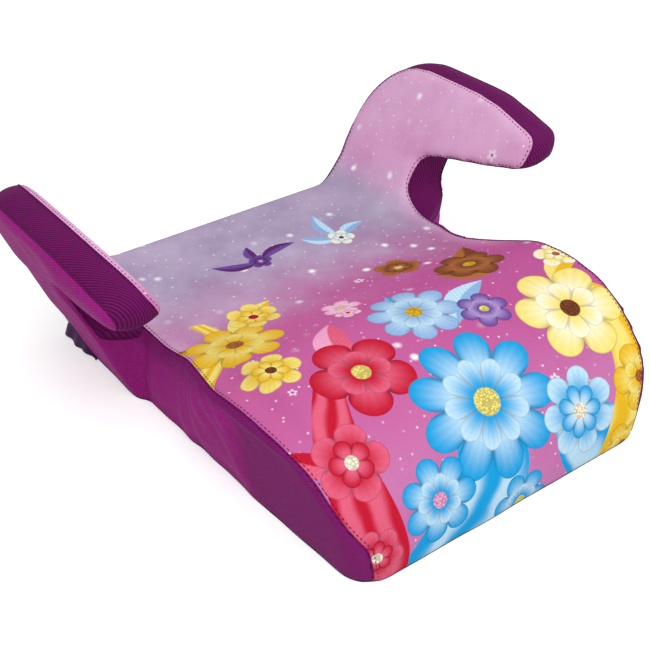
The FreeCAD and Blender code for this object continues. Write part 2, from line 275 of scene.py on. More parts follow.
def fannedPleats(places, centre, count, depth, near, far):
    # ridges that run out from a point in the side view and die away
    across = places[:, 1] - centre[0]
    along = places[:, 2] - centre[1]
    distance = np.hypot(across, along)
    sway = pleatLook["sway"] * np.sin(places[:, 1] / pleatLook["swayLength"])
    wave = np.sin(np.arctan2(along, across) * count + sway)
    fade = eased(distance, near * pleatLook["rise"], near) * (1.0 - eased(distance, near, far))
    return wave * fade * depth


def shapeSkin(skin, fields):
    look = coverLook
    mesh = skin.data
    places = vertexPlaces(mesh)
    pairs = edgePairs(mesh)
    distance = seamDistance(fields)
    away = 1.0 - np.exp(-(distance / look["flatBeside"]) ** 2)
    bandAway = 1.0 - np.exp(-(distance / look["armPuffBeside"]) ** 2)
    onPrint = fields["fromPrint"] < 0.0
    onGusset = ~onPrint & (fields["fromGusset"] < 0.0)
    onSide = ~onPrint & ~onGusset
    raised = eased(places[:, 2], *look["sidePuffFoot"]) * (places[:, 1] < look["sidePuffEnd"])
    lift = -look["seamDepth"] * np.exp(-(distance / look["seamWidth"]) ** 2)
    lift += look["sidePuff"] * away * onSide * raised
    lift += look["armPuff"] * bandAway * onGusset * (places[:, 2] > look["armPuffFoot"])
    lift += look["restless"] * away * unevenness(places, look["restlessSize"], look["restlessSeed"])
    lift += onSide * fannedPleats(places, pleatLook["belowNose"], *pleatLook["below"])
    lift += onSide * away * fannedPleats(places, pleatLook["belowNose"], *pleatLook["folds"])
    inGap = onPrint * (places[:, 2] > seatLevel)
    lift += inGap * fannedPleats(places, pleatLook["gapEnd"], *pleatLook["gap"])
    places = places + vertexNormals(mesh) * spreadOut(lift, pairs, look["liftEvening"])[:, None]
    places, share = roundedArms(places, pairs)
    moveVertices(mesh, places)
    places += vertexNormals(mesh) * (settleLook["armFill"] * share)[:, None]
    moveVertices(mesh, settled(places))


settleLook = {
    "armRounds": 12,  # smoothing steps that round the arms' edges
    "armStep": 0.9,
    "armFill": 2.4 * mm,  # how far the arms are filled out again
    "armSide": (122.0 * mm, 140.0 * mm),  # between the seat and the arms
    "armFoot": (76.0 * mm, 96.0 * mm),
    "seatHeight": 64.5 * mm,
    "rearRound": 19.0 * mm,  # the seat's rear edge is this round
    "rearSide": (104.0 * mm, 132.0 * mm),
    "bandRise": 0.30,  # the right arm's top stays more level than the left one
    "bandFoot": (128.0 * mm, 150.0 * mm),
    "bandSide": 184.0 * mm,
    "noseAhead": 9.0 * mm,  # the left arm's soft end leans forward and down
    "noseDrop": 7.0 * mm,
    "noseLength": 75.0 * mm,
    "noseFoot": (72.0 * mm, 92.0 * mm),
    "noseSide": (118.0 * mm, 134.0 * mm),
    "noseTop": (112.0 * mm, 136.0 * mm),
}


def roundedArms(places, pairs):
    # the cover rounds the edges of the soft arms; also gives how much of it each place takes
    look = settleLook
    counts = np.maximum(np.bincount(pairs.ravel(), minlength=len(places)), 1)
    share = eased(np.abs(places[:, 0]), *look["armSide"]) * eased(places[:, 2], *look["armFoot"])
    places = places.copy()
    for _ in range(look["armRounds"]):
        total = np.zeros_like(places)
        np.add.at(total, pairs[:, 0], places[pairs[:, 1]])
        np.add.at(total, pairs[:, 1], places[pairs[:, 0]])
        places += (total / counts[:, None] - places) * (look["armStep"] * share)[:, None]
    return places, share


def settled(places):
    # where soft pads give way: the seat's rear edge and the corners of the arms
    look = settleLook
    places = places.copy()
    side = np.abs(places[:, 0])
    radius = look["rearRound"]
    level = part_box("cover_seat_panel")[0].z + look["seatHeight"]
    behind = (places[:, 1] - (seatRear - radius)) / radius
    above = (places[:, 2] - (level - radius)) / radius
    corner = (behind > 0.0) & (above > 0.0)
    squeeze = np.maximum(behind, above) / np.maximum(np.hypot(behind, above), 1e-6)
    share = corner * (1.0 - eased(side, *look["rearSide"]))
    places[:, 1] += share * behind * (squeeze - 1.0) * radius
    places[:, 2] += share * above * (squeeze - 1.0) * radius
    high = eased(places[:, 2], *look["bandFoot"])
    beyond = np.maximum(side - look["bandSide"], 0.0)
    places[:, 2] += (places[:, 0] > 0.0) * high * beyond * look["bandRise"]
    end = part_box("arm_gusset_left")[0].y
    near = 1.0 - eased(places[:, 1], end, end + look["noseLength"])
    lean = near * eased(places[:, 2], *look["noseFoot"]) * eased(-places[:, 0], *look["noseSide"])
    places[:, 1] -= lean * look["noseAhead"]
    places[:, 2] -= lean * look["noseDrop"] * (1.0 - eased(places[:, 2], *look["noseTop"]))
    return places


def storeField(mesh, name, values, kind="FLOAT", domain="POINT"):
    attribute = mesh.attributes.new(name, kind, domain)
    key = "value" if kind == "FLOAT" else "vector"
    attribute.data.foreach_set(key, np.asarray(values, dtype=np.float32).ravel())


shortest = 0.02  # share of an edge that a cut leaves at least


def cutAlong(bm, name, allowed):
    # splits the faces where a field changes sign, so that the seam is a clean line of edges
    layer = bm.verts.layers.float[name]
    crossing = []
    for edge in bm.edges:
        a, b = edge.verts
        if a[layer] * b[layer] < 0.0 and allowed(a) and allowed(b):
            crossing.append(edge)
    fresh = set()
    for edge in crossing:
        start = edge.verts[0]
        share = start[layer] / (start[layer] - edge.verts[1][layer])
        share = min(max(share, shortest), 1.0 - shortest)
        made = bmesh.utils.edge_split(edge, start, share)[1]
        made[layer] = 0.0
        fresh.add(made)
    faces = {face for vert in fresh for face in vert.link_faces}
    for face in faces:
        ends = [vert for vert in face.verts if vert in fresh]
        if len(ends) == 2:
            first, second = ends
            if not any(edge.other_vert(first) is second for edge in first.link_edges):
                bmesh.utils.face_split(face, first, second)


def cutPanels(skin, fields):
    for name, values in fields.items():
        storeField(skin.data, name, values)
    bm = bmesh.new()
    bm.from_mesh(skin.data)
    layers = {name: bm.verts.layers.float[name] for name in fields}
    cutAlong(bm, "fromPrint", lambda vert: True)
    cutAlong(bm, "fromGusset", lambda vert: vert[layers["fromPrint"]] >= 0.0)
    cutAlong(bm, "fromRear", lambda vert: min(vert[layers["fromPrint"]],
                                              vert[layers["fromGusset"]]) >= 0.0)
    return bm, layers


def panelOf(face, layers):
    middle = {name: sum(vert[layer] for vert in face.verts) for name, layer in layers.items()}
    side = "Left" if face.calc_center_median().x < 0.0 else "Right"
    if middle["fromPrint"] < 0.0:
        return "seatCover"
    if middle["fromGusset"] < 0.0:
        return "armGusset" + side
    if middle["fromRear"] < 0.0:
        return "rearPanel"
    return "sidePanel" + side


def splitPanels(skin, bm, layers):
    floor = coverLook["underside"]
    down = [face for face in bm.faces if face.calc_center_median().z < floor and face.normal.z < -0.5]
    bmesh.ops.delete(bm, geom=down, context="FACES")
    groups = {}
    bm.faces.index_update()
    for face in bm.faces:
        groups.setdefault(panelOf(face, layers), []).append(face.index)
    panels = {}
    bm.to_mesh(skin.data)
    for name, indices in groups.items():
        part = bmesh.new()
        part.from_mesh(skin.data)
        keep = set(indices)
        bmesh.ops.delete(part, geom=[f for f in part.faces if f.index not in keep], context="FACES")
        mesh = bpy.data.meshes.new(name)
        part.to_mesh(mesh)
        part.free()
        mesh.shade_smooth()
        panels[name] = newObject(name, mesh)
    bm.free()
    return panels


def raisedHem(places):
    # the cover's lower edge has ridden up at the left rear corner, over the loose end of lining
    reach = eased(places[:, 1], *flapLook["riseBack"]) * eased(-places[:, 0], *flapLook["riseSide"])
    low = 1.0 - eased(places[:, 2], *flapLook["riseHeight"])
    places = places.copy()
    places[:, 2] += flapLook["hemRise"] * reach * low
    return places


flapLook = {
    "hemRise": 8.5 * mm,
    "riseBack": (138.0 * mm, 178.0 * mm),
    "riseSide": (92.0 * mm, 138.0 * mm),
    "riseHeight": (6.0 * mm, 46.0 * mm),
    "rearInset": 2.0 * mm,
    "tip": 134.0 * mm,  # Y where the loose end tapers out
    "top": 143.6 * mm,  # how far out its upper and lower edges hang
    "foot": 149.6 * mm,
    "width": 12.0 * mm,  # what shows of it
    "taper": (0.45, 1.0),  # where along it the width runs out, and how much of it
    "taperShare": 0.9,
    "hang": 0.7,  # below 1 it hangs out most near its upper edge
    "tuck": 2.6 * mm,  # the tip turns in again
    "tuckStart": 0.6,
    "ripple": 0.8 * mm,
    "ripples": 19.0,
    "clear": 0.5 * mm,  # between it and the floor, and how far its edge waves above that
    "wave": 1.2 * mm,
    "waves": 11.0,
    "steps": 56,
    "rows": 8,
}


def gridMesh(name, rows):
    # rows of points, each as long as the next, joined into a sheet
    width = len(rows[0])
    points = [point for row in rows for point in row]
    faces = []
    for i in range(len(rows) - 1):
        for j in range(width - 1):
            k = i * width + j
            faces.append((k, k + 1, k + width + 1, k + width))
    mesh = bpy.data.meshes.new(name)
    mesh.from_pydata(points, [], faces)
    mesh.shade_smooth()
    return mesh


def makeLooseHem():
    # the end of the lining hangs out below the cover and tapers to a tip
    look = flapLook
    rear = seatRear - look["rearInset"]
    rows = []
    for i in range(look["rows"] + 1):
        down = i / look["rows"]
        row = []
        for j in range(look["steps"] + 1):
            along = j / look["steps"]
            y = mixed(rear, look["tip"], along)
            height = look["width"] * (1.0 - look["taperShare"] * eased(along, *look["taper"]))
            ripple = look["ripple"] * math.sin(along * look["ripples"]) * down
            tuck = look["tuck"] * eased(along, look["tuckStart"], 1.0)
            out = mixed(look["top"], look["foot"], down ** look["hang"]) + ripple - tuck
            wave = (1.0 + math.sin(along * look["waves"])) * 0.5
            low = look["clear"] + look["wave"] * wave
            row.append((-out, y, mixed(height + low, low, down)))
        rows.append(row)
    return newObject("looseHem", gridMesh("looseHem", rows))


def isoLine(mesh, values, level, wanted):
    # points where a field passes through a level, joined across each face
    values = np.asarray(values) - level
    places = vertexPlaces(mesh)
    points = []
    numbers = {}
    pieces = []
    for polygon in mesh.polygons:
        loop = list(polygon.vertices)
        ends = []
        for a, b in zip(loop, loop[1:] + loop[:1]):
            if (values[a] < 0.0) != (values[b] < 0.0):
                key = (min(a, b), max(a, b))
                if key not in numbers:
                    share = values[key[0]] / (values[key[0]] - values[key[1]])
                    numbers[key] = len(points)
                    points.append(mixed(places[key[0]], places[key[1]], share))
                ends.append(numbers[key])
        if len(ends) == 2 and wanted(points[ends[0]], loop):
            pieces.append(tuple(ends))
    points = np.array(points)
    pairs = np.array(pieces, dtype=np.int64)
    return spreadOut(points, pairs, seamLook["lineEvening"]), pairs


def pathMesh(name, parts):
    points = []
    edges = []
    for places, pairs in parts:
        start = len(points)
        used = np.unique(pairs)
        number = {old: start + new for new, old in enumerate(used)}
        points += [tuple(places[old]) for old in used]
        edges += [(number[a], number[b]) for a, b in pairs]
    mesh = bpy.data.meshes.new(name)
    mesh.from_pydata(points, edges, [])
    return mesh


def seamPaths(skin, fields):
    # must be read before the panels are cut: the seams themselves and the stitch lines beside them
    mesh = skin.data
    fromPrint = fields["fromPrint"]
    fromGusset = fields["fromGusset"]
    offset = seamLook["stitchOffset"]

    def aboveFloor(point, loop):
        return point[2] > seamLook["lowest"]

    def offPrint(point, loop):
        return point[2] > seamLook["lowest"] and min(fromPrint[i] for i in loop) > 0.0

    rolls = [isoLine(mesh, fromPrint, 0.0, aboveFloor), isoLine(mesh, fromGusset, 0.0, offPrint)]
    stitches = [isoLine(mesh, fromPrint, -offset, aboveFloor),
                isoLine(mesh, fromGusset, -offset, offPrint)]
    return pathMesh("seamRoll", rolls), pathMesh("seamStitches", stitches)


# Geometry Nodes for the seam roll and the stitches

seamLook = {
    "rollRadius": 0.75 * mm,
    "stitchOffset": 2.6 * mm,
    "stitchPitch": 3.6 * mm,
    "stitchLength": 2.5 * mm,
    "stitchThick": 0.75 * mm,
    "rollPitch": 2.4 * mm,
    "lowest": 2.5 * mm,  # the seams end above the floor
    "lineEvening": 5,
    "rollSides": 7,
    "stitchSides": (6, 4),
}


def addNode(tree, kind, settings=None, *values, **named):
    # kind is the node's type, for a shader node without its first word; settings is the node's
    # operation, or a dictionary; values fill its sockets in order, or by name
    node = tree.nodes.new(kind if "Node" in kind else "ShaderNode" + kind)
    if isinstance(settings, str):
        settings = {"operation": settings}
    for key, value in (settings or {}).items():
        setattr(node, key, value)
    filled = [(node.inputs[i], value) for i, value in enumerate(values)]
    for key, value in named.items():
        titles = (key, key.replace("_", " "))
        filled.append((next(socket for socket in node.inputs
                            if socket.identifier == key or socket.name in titles), value))
    for socket, value in filled:
        if isinstance(value, bpy.types.NodeSocket):
            tree.links.new(value, socket)
        elif value is not None:
            socket.default_value = value
    return node.outputs


def newTree(name, kind, inputs, output):
    tree = bpy.data.node_groups.new(name, kind)
    tree.interface.new_socket(output[0], in_out="OUTPUT", socket_type=output[1])
    for title, socket in inputs:
        tree.interface.new_socket(title, in_out="INPUT", socket_type=socket)
    return tree, partial(addNode, tree)


def pathPiece(name, mesh, tree, inputs):
    # runs the tree over a path and keeps its result as a plain mesh
    obj = newObject(name, mesh)
    modifier = obj.modifiers.new("path", "NODES")
    modifier.node_group = tree
    for item in tree.interface.items_tree:
        if item.name in inputs:
            modifier[item.identifier] = inputs[item.name]
    applyModifiers(obj)
    return obj


geometrySocket = "NodeSocketGeometry"
floatSocket = "NodeSocketFloat"


def pathTree(name, sizes):
    # begins a tree with its path cut into even steps
    inputs = [("Path", geometrySocket)] + [(title, floatSocket) for title in ["Pitch"] + sizes]
    tree, add = newTree(name, "GeometryNodeTree", inputs, ("Piece", geometrySocket))
    given = add("NodeGroupInput")
    curve = add("GeometryNodeMeshToCurve", None, given["Path"])[0]
    even = add("GeometryNodeResampleCurve", {"mode": "LENGTH"}, curve, Length=given["Pitch"])[0]
    return tree, add, given, even


def endTree(add, piece, material):
    whole = add("GeometryNodeRealizeInstances", None, piece)[0]
    done = add("GeometryNodeSetMaterial", None, whole, Material=material)[0]
    add("NodeGroupOutput", None, done)


def rollTree(material):
    tree, add, given, even = pathTree("seam roll", ["Radius"])
    ring = add("GeometryNodeCurvePrimitiveCircle", None, Resolution=seamLook["rollSides"],
               Radius=given["Radius"])[0]
    tube = add("GeometryNodeCurveToMesh", None, even, ring, Fill_Caps=True)[0]
    endTree(add, tube, material)
    return tree


def stitchTree(material):
    tree, add, given, even = pathTree("seam stitches", ["Length", "Thickness"])
    points = add("GeometryNodeCurveToPoints", {"mode": "EVALUATED"}, even)
    turn = add("FunctionNodeAlignRotationToVector", {"axis": "X"}, Vector=points["Tangent"])[0]
    ball = add("GeometryNodeMeshUVSphere", None, *seamLook["stitchSides"], Radius=0.5)[0]
    size = add("CombineXYZ", None, given["Length"], given["Thickness"], given["Thickness"])[0]
    placed = add("GeometryNodeInstanceOnPoints", None, points["Points"],
                 Instance=ball, Rotation=turn, Scale=size)[0]
    endTree(add, placed, material)
    return tree


# what lies under the cover

padLook = {
    "voxel": 3.2 * mm,
    "smoothing": 2,
}


def makePad(name, node):
    pad = joinedCopy(name, [node])
    remeshed(pad, padLook["voxel"], padLook["smoothing"])
    moveVertices(pad.data, settled(vertexPlaces(pad.data)))
    pad.data.shade_smooth()
    return pad


liningLook = {
    "width": 26.0 * mm,
    "rows": 10,
    "pitch": 13.0 * mm,  # of the gathers that the elastic draws it into
    "gather": 1.9 * mm,
    "wander": 41.0 * mm,  # length over which the gathers drift, and how far
    "drift": 1.5,
    "flat": 0.6,  # share of the width that stays flat
    "step": 4.0 * mm,
    "seamHeight": 3.0 * mm,  # the strip is sewn to the cover this high
    "inset": 0.9 * mm,
    "level": 0.6 * mm,
    "thick": 0.5 * mm,
    "reach": 5,  # steps each way that its direction is read over
}


def orderedLoop(pairs):
    links = {}
    for a, b in pairs:
        links.setdefault(a, []).append(b)
        links.setdefault(b, []).append(a)
    start = int(pairs[0][0])
    loop = [start]
    last = None
    while True:
        onward = [n for n in links[loop[-1]] if n != last]
        last = loop[-1]
        if not onward or onward[0] == start:
            return loop
        loop.append(onward[0])


def makeLining(skin):
    # gathered strip under the seat, sewn to the cover's lower edge
    look = liningLook
    mesh = skin.data
    places = vertexPlaces(mesh)
    points, pairs = isoLine(mesh, places[:, 2], look["seamHeight"], lambda point, loop: True)
    ring = points[orderedLoop(pairs)]
    runs = np.linalg.norm(np.diff(ring, axis=0, append=ring[:1]), axis=1)
    whole = runs.sum()
    count = int(whole / look["step"])
    marks = np.concatenate(([0.0], np.cumsum(runs)))
    wanted = np.arange(count) / count * whole
    closed = np.vstack((ring, ring[:1]))
    even = np.column_stack([np.interp(wanted, marks, closed[:, axis]) for axis in (0, 1)])
    inward = np.roll(even, -look["reach"], axis=0) - np.roll(even, look["reach"], axis=0)
    inward = np.column_stack((-inward[:, 1], inward[:, 0]))
    inward /= np.linalg.norm(inward, axis=1)[:, None]
    if (inward * even).sum() > 0.0:
        inward = -inward
    rows = []
    for i in range(look["rows"] + 1):
        share = i / look["rows"]
        flat = even + inward * (share * look["width"] + look["inset"])
        drift = look["drift"] * np.sin(wanted / look["wander"])
        wave = 0.5 + 0.5 * np.sin(wanted / look["pitch"] * 2.0 * math.pi + drift)
        height = look["level"] + look["gather"] * wave * eased(share, look["flat"], 1.0)
        row = [(x, y, z) for (x, y), z in zip(flat, height)]
        rows.append(row + row[:1])
    obj = newObject("hemLining", gridMesh("hemLining", rows))
    with edited(obj.data) as bm:
        bmesh.ops.remove_doubles(bm, verts=bm.verts, dist=0.05 * mm)
        bmesh.ops.recalc_face_normals(bm, faces=bm.faces)
    return obj


def addThickness(obj, thick):
    wall = obj.modifiers.new("cloth", "SOLIDIFY")
    wall.thickness = thick
    wall.offset = -1.0


def printPlaces(places):
    # position on the printed cloth in millimetres: across, and back from the thigh rise
    x, y, z = (places / mm).T
    look = printLook
    fall = look["fallMiddle"]
    turned = np.arctan2(np.maximum(z, 0.0), np.maximum(fall - y, 1e-6))
    back = np.where(y < fall, fall - look["fallRadius"] * (math.pi / 2.0 - turned), y)
    level = mixed(look["thighHeight"], look["seatHeight"], eased(y, *look["thighEnd"]))
    arm = eased(np.abs(x), *look["armSide"]) * eased(y, *look["armFront"])
    climb = arm * np.maximum(z - level, 0.0) * look["armClimb"]
    across = np.sign(x) * (np.abs(x) + climb)
    return np.column_stack((across, back, np.zeros_like(back)))


printLook = {
    "fallMiddle": -98.0,  # Y where the front starts to fall, in millimetres
    "fallRadius": 90.0,
    "thighHeight": 92.0,
    "seatHeight": 64.5,
    "thighEnd": (-54.0, 30.0),
    "armSide": (100.0, 130.0),
    "armFront": (-30.0, -8.0),
    "armClimb": 0.52,  # how much height on an arm counts as width of the print
}


# materials

vectorSocket = "NodeSocketVector"
colourSocket = "NodeSocketColor"


def linear(code):
    values = [int(code[i:i + 2], 16) / 255.0 for i in (0, 2, 4)]
    return tuple(v / 12.92 if v <= 0.04045 else ((v + 0.055) / 1.055) ** 2.4 for v in values) + (1.0,)


def newMaterial(name):
    material = bpy.data.materials.new(name)
    material.use_nodes = True
    material.node_tree.nodes.clear()
    return material, partial(addNode, material.node_tree)


def pieceMaterial(name):
    # with the place on the piece, in metres
    material, add = newMaterial(name)
    return material, add, add("TexCoord")["Object"]


rgba = {"data_type": "RGBA"}
smooth = {"interpolation_type": "SMOOTHSTEP"}


def motifTree(name, sizes, colours):
    # a motif laid over the colour under it; it starts at a point of the print
    inputs = [("Place", vectorSocket), ("Under", colourSocket), ("Start", vectorSocket)]
    inputs += [(title, floatSocket) for title in sizes] + [(title, colourSocket) for title in colours]
    return newTree(name, "ShaderNodeTree", inputs, ("Colour", colourSocket))


motifLook = {
    "room": 3.5,  # millimetres round a motif within which faces carry its values
    "sharpness": 1.6,  # cover gained for each millimetre inside its edge
    "leafBend": 0.5,  # share of a leaf's length that it bows to one side
    "leafBreadth": 2.0,  # 2 makes the middle as wide as the leaf's width says
    "leafVeins": (1.5, 0.06),  # how close, how strong
    "ribbonSwing": 5.2,  # the angle of its sway from one end to the other
    "ribbonFolds": (6.5, 9.0),  # across it, and how far they wander
    "petalRings": [("COSINE", 1.0), ("SINE", 0.6)],  # turned by half a petal; size of each
    "petalCut": 0.40,  # share of the radius that the gaps between petals reach in
    "petalBulge": 0.5,  # below 1 the ends of the petals are broader
    "petalVeins": (5.0, 0.035),
    "petalFold": 0.62,  # shade where petals meet
    "petalEdge": 0.66,  # shade along their edges
    "heart": (0.17, 0.19),  # share of the radius that it ends at
    "heartGrain": 0.55,
}
clamped = {"operation": "MULTIPLY", "use_clamp": True}


def bloomTree():
    # two rings of rounded petals and a heart
    tree, add = motifTree("bloom", ["Radius", "Petals", "Turn"], ["Outer", "Inner", "Heart"])
    given = add("NodeGroupInput")
    look = motifLook
    veinCount, veinDepth = look["petalVeins"]
    offset = add("VectorMath", "SUBTRACT", given["Place"], given["Start"])[0]
    reach = add("VectorMath", "LENGTH", offset)["Value"]
    parts = add("SeparateXYZ", None, offset)
    angle = add("Math", "ARCTAN2", parts["Y"], parts["X"])[0]
    turned = add("Math", "ADD", angle, given["Turn"])[0]
    swing = add("Math", "MULTIPLY", turned, given["Petals"])[0]
    half = add("Math", "MULTIPLY", swing, 0.5)[0]
    vein = add("Math", "SINE", add("Math", "MULTIPLY", swing, veinCount)[0])[0]
    fine = add("Math", "MULTIPLY_ADD", vein, veinDepth, 1.0)[0]
    colour = given["Under"]
    tip, base = given["Outer"], given["Inner"]
    for wave, size in look["petalRings"]:
        lobe = add("Math", "ABSOLUTE", add("Math", wave, half)[0])[0]
        bulge = add("Math", "POWER", lobe, look["petalBulge"])[0]
        cut = look["petalCut"]
        edge = add("Math", "MULTIPLY_ADD", bulge, cut * size, (1.0 - cut) * size)[0]
        edge = add("Math", "MULTIPLY", edge, given["Radius"])[0]
        share = add("Math", "DIVIDE", reach, edge)[0]
        inside = add("Math", "SUBTRACT", edge, reach)[0]
        cover = add("Math", clamped, inside, look["sharpness"])[0]
        blend = add("MapRange", smooth, share, 0.30, 1.0, 0.0, 1.0)[0]
        petal = add("Mix", rgba, blend, A_Color=base, B_Color=tip)["Result"]
        fold = add("MapRange", smooth, lobe, 0.0, 0.5, look["petalFold"], 1.0)[0]
        line = add("MapRange", smooth, inside, 0.3, 1.5, look["petalEdge"], 1.0)[0]
        shade = add("Math", "MULTIPLY", fold, fine)[0]
        shade = add("Math", "MULTIPLY", shade, line)[0]
        petal = add("VectorMath", "SCALE", petal, Scale=shade)[0]
        colour = add("Mix", rgba, cover, A_Color=colour, B_Color=petal)["Result"]
        tip, base = base, tip
    share = add("Math", "DIVIDE", reach, given["Radius"])[0]
    seeds = add("TexVoronoi", None, given["Place"], Scale=look["heartGrain"])["Distance"]
    grain = add("MapRange", None, seeds, 0.1, 0.6, 1.25, 0.6)[0]
    heart = add("VectorMath", "SCALE", given["Heart"], Scale=grain)[0]
    cover = add("MapRange", smooth, share, *look["heart"], 1.0, 0.0)[0]
    colour = add("Mix", rgba, cover, A_Color=colour, B_Color=heart)["Result"]
    add("NodeGroupOutput", None, colour)
    return tree


def alongMotif(add, given):
    # the place seen from the motif's start, which runs along X, and the share of its length there
    back = add("Math", "MULTIPLY", given["Angle"], -1.0)[0]
    offset = add("VectorMath", "SUBTRACT", given["Place"], given["Start"])[0]
    turned = add("VectorRotate", {"rotation_type": "Z_AXIS"}, offset, Angle=back)[0]
    parts = add("SeparateXYZ", None, turned)
    return parts, add("Math", "DIVIDE", parts["X"], given["Length"])[0]


def layMotif(add, given, inside, colour):
    # inside is how many millimetres within the motif's edge
    cover = add("Math", clamped, inside, motifLook["sharpness"])[0]
    colour = add("Mix", rgba, cover, A_Color=given["Under"], B_Color=colour)["Result"]
    add("NodeGroupOutput", None, colour)


def leafTree():
    tree, add = motifTree("leaf", ["Angle", "Length", "Width"], ["Light", "Dark"])
    given = add("NodeGroupInput")
    look = motifLook
    veinCount, veinDepth = look["leafVeins"]
    parts, share = alongMotif(add, given)
    rest = add("Math", "SUBTRACT", 1.0, share)[0]
    bow = add("Math", "MULTIPLY", share, rest)[0]
    half = add("Math", "MULTIPLY", bow, given["Width"])[0]
    half = add("Math", "MULTIPLY", half, look["leafBreadth"])[0]
    bend = add("Math", "MULTIPLY", bow, given["Length"])[0]
    rib = add("Math", "MULTIPLY_ADD", bend, -look["leafBend"], parts["Y"])[0]
    gap = add("Math", "ABSOLUTE", rib)[0]
    inside = add("Math", "SUBTRACT", half, gap)[0]
    side = add("MapRange", smooth, rib, -0.8, 0.8, 0.0, 1.0)[0]
    slant = add("Math", "SUBTRACT", parts["X"], gap)[0]
    vein = add("Math", "SINE", add("Math", "MULTIPLY", slant, veinCount)[0])[0]
    shade = add("Math", "MULTIPLY_ADD", vein, veinDepth, 1.0)[0]
    leaf = add("Mix", rgba, side, A_Color=given["Dark"], B_Color=given["Light"])["Result"]
    leaf = add("VectorMath", "SCALE", leaf, Scale=shade)[0]
    layMotif(add, given, inside, leaf)
    return tree


def ribbonTree():
    # a swaying band that widens along its length, with satin folds
    tree, add = motifTree("ribbon", ["Angle", "Length", "Width", "Flare", "Sway"], ["Light", "Dark"])
    given = add("NodeGroupInput")
    look = motifLook
    foldCount, foldDrift = look["ribbonFolds"]
    parts, share = alongMotif(add, given)
    swing = add("Math", "SINE", add("Math", "MULTIPLY", share, look["ribbonSwing"])[0])[0]
    middle = add("Math", "MULTIPLY", swing, given["Sway"])[0]
    across = add("Math", "SUBTRACT", parts["Y"], middle)[0]
    wide = add("Math", "MULTIPLY_ADD", share, given["Flare"], given["Width"])[0]
    half = add("Math", "MULTIPLY", wide, 0.5)[0]
    inside = add("Math", "SUBTRACT", half, add("Math", "ABSOLUTE", across)[0])[0]
    ahead = add("Math", "SUBTRACT", given["Length"], parts["X"])[0]
    ends = add("Math", "MINIMUM", parts["X"], ahead)[0]
    inside = add("Math", "MINIMUM", inside, ends)[0]
    place = add("Math", "DIVIDE", across, half)[0]
    slow = add("TexNoise", None, given["Place"], Scale=0.022, Detail=1.0)["Fac"]
    folds = add("Math", "MULTIPLY", place, foldCount)[0]
    phase = add("Math", "MULTIPLY_ADD", slow, foldDrift, folds)[0]
    fold = add("Math", "SINE", phase)[0]
    tint = add("MapRange", smooth, fold, -0.9, 0.9, 0.0, 1.0)[0]
    satin = add("Mix", rgba, tint, A_Color=given["Dark"], B_Color=given["Light"])["Result"]
    layMotif(add, given, inside, satin)
    return tree


# the print: across and back in millimetres, later motifs lie over earlier ones
motifColours = {
    "sky": "129FDD", "paleBlue": "BFE0F4", "yellow": "F3E07A", "gold": "E9B81E", "coral": "E2607F",
    "red": "C41230", "brown": "7A3F22", "copper": "B06A35", "violet": "6A4A98", "lilac": "B79AD6",
    "cream": "FFF3D8", "plum": "5B2468", "rose": "F2A6CC", "blush": "F7D2E4", "dusk": "8FB4E0",
}
ribbons = [
    # start, angle, length, width, flare, sway, light, dark
    ((-20, -150), -1.75, 112, 34, 78, 12, "paleBlue", "sky"),
    ((60, -170), -1.15, 96, 30, 70, -10, "paleBlue", "sky"),
    ((118, -110), -1.45, 150, 30, 62, 14, "yellow", "gold"),
    ((-92, -96), -1.85, 150, 20, 40, -9, "coral", "red"),
    ((-104, 46), -1.95, 118, 12, 12, 16, "yellow", "gold"),
]
leaves = [
    # start, angle, length, width, light, dark
    ((-96, -8), 0.75, 74, 26, "yellow", "gold"),
    ((-96, -8), 2.50, 50, 20, "gold", "copper"),
    ((-66, -98), 1.25, 66, 26, "rose", "coral"),
    ((20, -96), 1.75, 66, 24, "dusk", "sky"),
    ((20, -96), 0.55, 62, 22, "paleBlue", "dusk"),
    ((92, -60), 1.20, 66, 24, "copper", "brown"),
    ((92, -60), 2.35, 46, 20, "copper", "brown"),
    ((112, -96), 0.35, 44, 20, "yellow", "gold"),
    ((-120, -150), 2.45, 36, 18, "coral", "red"),
    ((-16, 92), 0.20, 40, 11, "plum", "violet"),
    ((-16, 92), 2.75, 40, 11, "plum", "violet"),
    ((-16, 92), 1.45, 26, 10, "violet", "plum"),
    ((58, 84), 0.35, 34, 12, "paleBlue", "dusk"),
    ((58, 84), 2.60, 34, 12, "paleBlue", "dusk"),
    ((58, 84), 1.50, 44, 13, "dusk", "paleBlue"),
]
